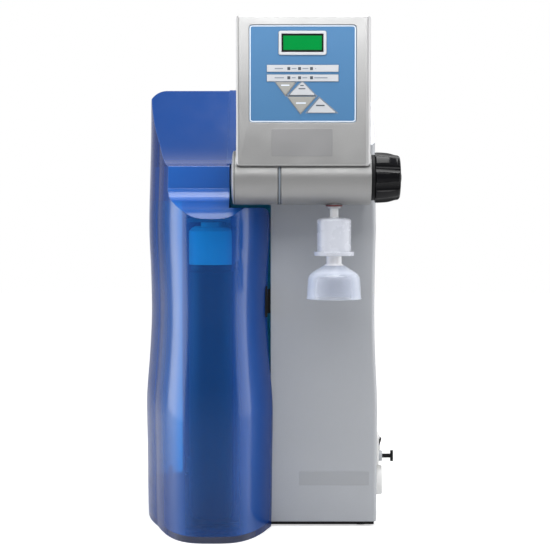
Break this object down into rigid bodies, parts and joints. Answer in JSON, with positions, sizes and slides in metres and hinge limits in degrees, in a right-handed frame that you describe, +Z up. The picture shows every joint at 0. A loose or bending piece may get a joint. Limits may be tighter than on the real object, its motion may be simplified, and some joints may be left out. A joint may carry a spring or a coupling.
{
  "type": "ultrapure water system",
  "caption": "Bench water purifier with a bowed swing cover over its cartridges, a grey cabinet, a dispensing arm with knob and bell filter, and a tilting display head.",
  "frame": {"origin": "middle of the overall footprint, at bench level under the feet", "axes": "+Z up; -Y is the front with the display and outlet; +X is the side of the dispense knob and power inlet"},
  "size_m": [0.2796, 0.4078, 0.5413],
  "materials": {
    "aluminium": "anodised",
    "board_green": "matt",
    "cabinet_grey": "satin, lightly textured",
    "cartridge_graphite": "satin",
    "clear_plastic": "clear, slightly milky",
    "cover_blue": "glossy, slightly translucent",
    "dark_steel": "brushed, dark",
    "display_green": "smooth",
    "foot_rubber": "matt",
    "gloss_black": "polished",
    "key_grey": "satin",
    "keypad_blue": "satin film",
    "matt_black": "matt",
    "outlet_red": "smooth",
    "pale_plastic": "satin",
    "sheet_grey": "powder coat",
    "silver_grey": "satin paint",
    "steel": "brushed",
    "white_plastic": "smooth"
  },
  "bodies": {
    "cabinet": {"base_plate": "matt_black", "cartridge_bracket": "sheet_grey", "circulation_pump": "cabinet_grey", "cover_hinge_lower": "steel", "cover_hinge_upper": "steel", "dispense_arm": "silver_grey", "drain_valve_body": "white_plastic", "feed_water_fitting": "white_plastic", "foot_front_left": "foot_rubber", "foot_front_right": "foot_rubber", "foot_rear_left": "foot_rubber", "foot_rear_right": "foot_rubber", "front_cartridge": "cartridge_graphite", "front_cartridge_head": "white_plastic", "hinge_shaft": "steel", "knob_collar": "matt_black", "latch_keeper": "steel", "main_housing": "cabinet_grey", "outlet_collar": "outlet_red", "partition_wall": "sheet_grey", "power_inlet": "matt_black", "power_supply": "aluminium", "pump_motor": "matt_black", "rear_cartridge": "cartridge_graphite", "rear_cartridge_head": "white_plastic", "rear_panel": "sheet_grey", "reject_water_fitting": "white_plastic", "sanitising_port": "white_plastic", "service_plate": "pale_plastic", "tank_return_fitting": "white_plastic", "ultrafilter": "white_plastic", "ultraviolet_reactor": "steel", "valve_body": "white_plastic"},
    "head": {"hinge_barrel": "silver_grey", "barrel_end_cap": "silver_grey", "head_front_shell": "silver_grey", "head_rear_cover": "cabinet_grey", "keypad_panel": "keypad_blue", "display_bezel": "white_plastic", "display_window": "display_green", "display_module": "cabinet_grey", "indicator_strip_upper": "white_plastic", "indicator_strip_lower": "white_plastic", "control_board": "board_green"},
    "key_down_left_body": {"key_down_left": "key_grey"},
    "key_up_left_body": {"key_up_left": "white_plastic"},
    "key_down_right_body": {"key_down_right": "key_grey"},
    "key_up_right_body": {"key_up_right": "white_plastic"},
    "knob": {"dispense_knob": "gloss_black", "knob_cap": "gloss_black", "valve_spindle": "steel"},
    "final_filter": {"filter_stem": "clear_plastic", "filter_capsule": "white_plastic", "filter_bell": "clear_plastic", "filter_nozzle": "white_plastic"},
    "cover": {"cartridge_cover": "cover_blue"},
    "latch": {"cover_latch": "matt_black"},
    "switch": {"power_switch": "matt_black"},
    "drain_handle": {"drain_valve_handle": "dark_steel"},
    "port_cap": {"sanitising_port_cap": "pale_plastic"}
  },
  "joints": [
    {"name": "head_tilt", "type": "hinge", "parent": "cabinet", "child": "head", "pos_m": [0.00995, -0.17265, 0.378], "axis": [1, 0, 0], "range_deg": [-35, 10]},
    {"name": "knob_turn", "type": "hinge", "parent": "cabinet", "child": "knob", "pos_m": [0.10495, -0.17265, 0.378], "axis": [1, 0, 0], "range_deg": [0, 180]},
    {"name": "filter_pull", "type": "slide", "parent": "cabinet", "child": "final_filter", "axis": [0, 0, -1], "range_m": [0, 0.015]},
    {"name": "cover_swing", "type": "hinge", "parent": "cabinet", "child": "cover", "pos_m": [-0.12555, 0.17835, 0.0005], "axis": [0, 0, -1], "range_deg": [0, 95]},
    {"name": "latch_press", "type": "slide", "parent": "cover", "child": "latch", "axis": [-1, 0, 0], "range_m": [0, 0.002], "stiffness_N_per_m": 400},
    {"name": "switch_rock", "type": "hinge", "parent": "cabinet", "child": "switch", "pos_m": [0.12155, -0.01765, 0.07675], "axis": [0, -1, 0], "range_deg": [0, 16]},
    {"name": "drain_turn", "type": "hinge", "parent": "cabinet", "child": "drain_handle", "pos_m": [0.12725, -0.03865, 0.0678], "axis": [1, 0, 0], "range_deg": [0, 90]},
    {"name": "cap_pull", "type": "slide", "parent": "cabinet", "child": "port_cap", "axis": [1, 0, 0], "range_m": [0, 0.015]},
    {"name": "key_down_left_press", "type": "slide", "parent": "head", "child": "key_down_left_body", "axis": [0, 1, 0], "range_m": [0, 0.0005], "stiffness_N_per_m": 1200},
    {"name": "key_up_left_press", "type": "slide", "parent": "head", "child": "key_up_left_body", "axis": [0, 1, 0], "range_m": [0, 0.0005], "stiffness_N_per_m": 1200},
    {"name": "key_down_right_press", "type": "slide", "parent": "head", "child": "key_down_right_body", "axis": [0, 1, 0], "range_m": [0, 0.0005], "stiffness_N_per_m": 1200},
    {"name": "key_up_right_press", "type": "slide", "parent": "head", "child": "key_up_right_body", "axis": [0, 1, 0], "range_m": [0, 0.0005], "stiffness_N_per_m": 1200}
  ]
}
